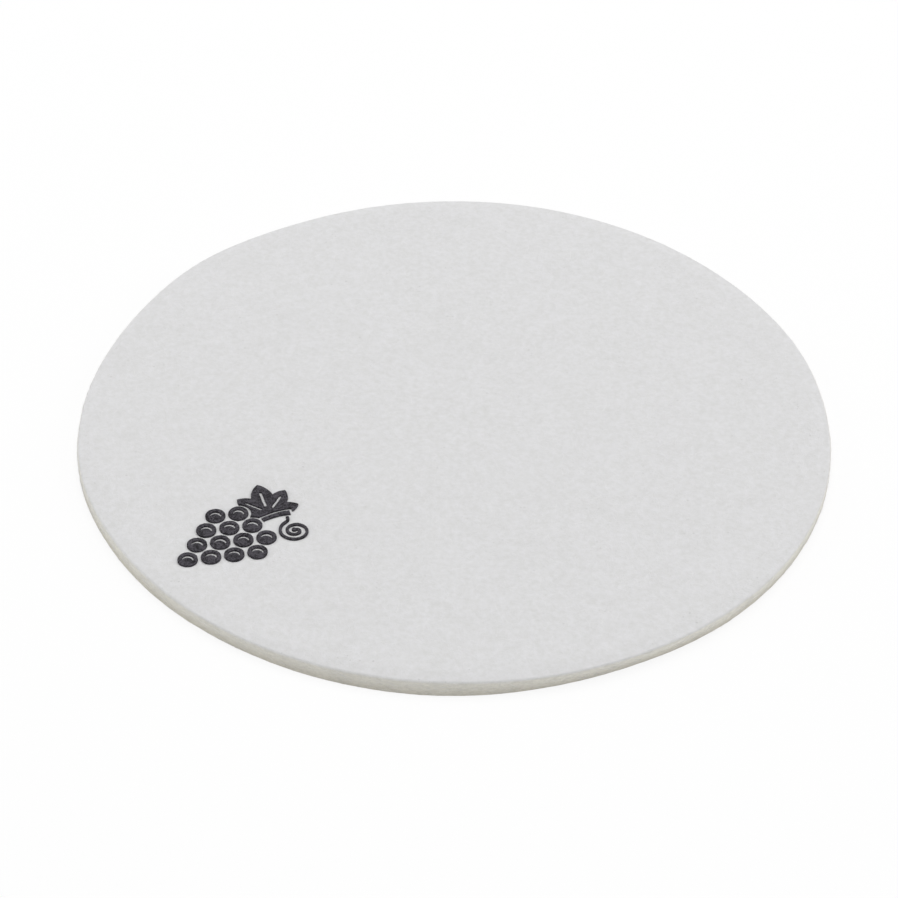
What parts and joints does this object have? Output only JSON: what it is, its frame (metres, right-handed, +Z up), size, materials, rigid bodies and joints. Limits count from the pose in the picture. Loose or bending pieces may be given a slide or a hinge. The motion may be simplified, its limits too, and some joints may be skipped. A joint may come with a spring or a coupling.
{
  "type": "wine bottle coaster",
  "caption": "Flat round coaster die-cut from one layer of off-white needle felt, with a small charcoal grape print near its edge; it lies under a wine bottle and takes up drips.",
  "frame": {"origin": "centre of the underside, on the surface that the coaster lies on", "axes": "+Z up through the thickness of the felt; -Y towards the viewer of the picture and +X to the viewer's right, so the print lies near the edge at -X and -Y"},
  "size_m": [0.1, 0.1, 0.0022],
  "materials": {
    "felt": "matte",
    "print_film": "matte"
  },
  "bodies": {
    "root": {"felt_disc": "felt", "print_grapes": "print_film", "print_leaf": "print_film", "print_stem": "print_film", "print_tendril": "print_film"}
  },
  "joints": []
}
